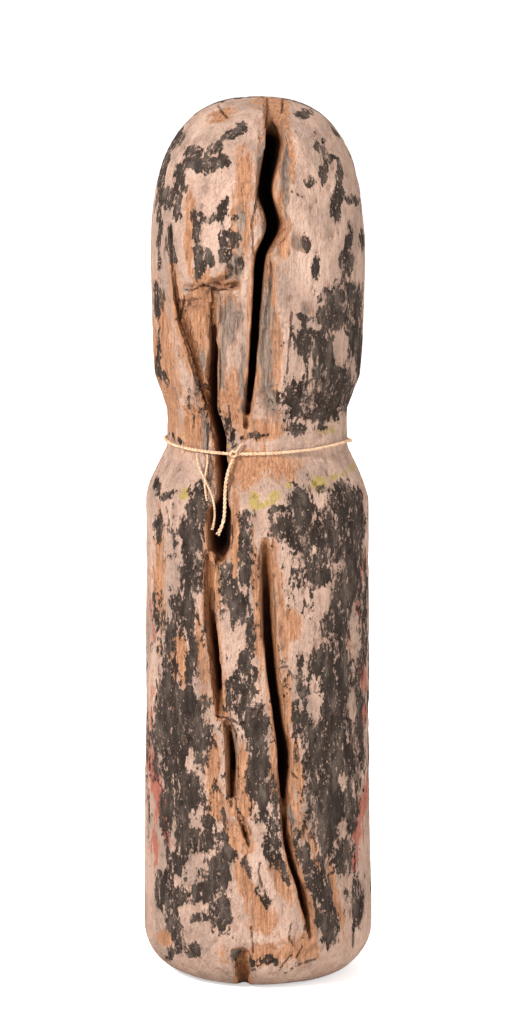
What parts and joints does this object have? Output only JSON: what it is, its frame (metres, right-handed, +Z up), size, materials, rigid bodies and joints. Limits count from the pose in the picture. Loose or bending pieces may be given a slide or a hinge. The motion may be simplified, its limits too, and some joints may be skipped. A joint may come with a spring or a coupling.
{
  "type": "carved wooden fertility doll",
  "caption": "Weathered carved wooden post figure with a domed head, narrow neck and rounded body, split by drying, with a thin cord tied round the neck.",
  "frame": {"origin": "centre of the flat base on the surface the figure stands on", "axes": "+Z up through the crown, -Y to the front where the wide splits are, +X to the viewer's right"},
  "size_m": [0.0912, 0.0911, 0.35],
  "materials": {
    "painted_wood": "weathered wood with worn matt earth paint",
    "cord": "plain twisted plant fibre"
  },
  "bodies": {
    "figure": {"wood_figure": "painted_wood"},
    "neck_loop": {"neck_cord": "cord", "cord_knot": "cord"},
    "right_tail": {"cord_tail_right": "cord"},
    "left_strands": {"cord_tail_left": "cord", "cord_short_end": "cord"}
  },
  "joints": [
    {"name": "neck_loop_turn", "type": "hinge", "parent": "figure", "child": "neck_loop", "pos_m": [0, 0, 0.2142], "axis": [0, 0, 1], "continuous": true},
    {"name": "right_tail_lift", "type": "hinge", "parent": "neck_loop", "child": "right_tail", "pos_m": [-0.0096, -0.03635, 0.2142], "axis": [-1, 0, 0], "range_deg": [0, 120]},
    {"name": "left_strands_lift", "type": "hinge", "parent": "neck_loop", "child": "left_strands", "pos_m": [-0.0219, -0.02945, 0.2142], "axis": [-0.803, 0.596, 0], "range_deg": [0, 120]}
  ]
}
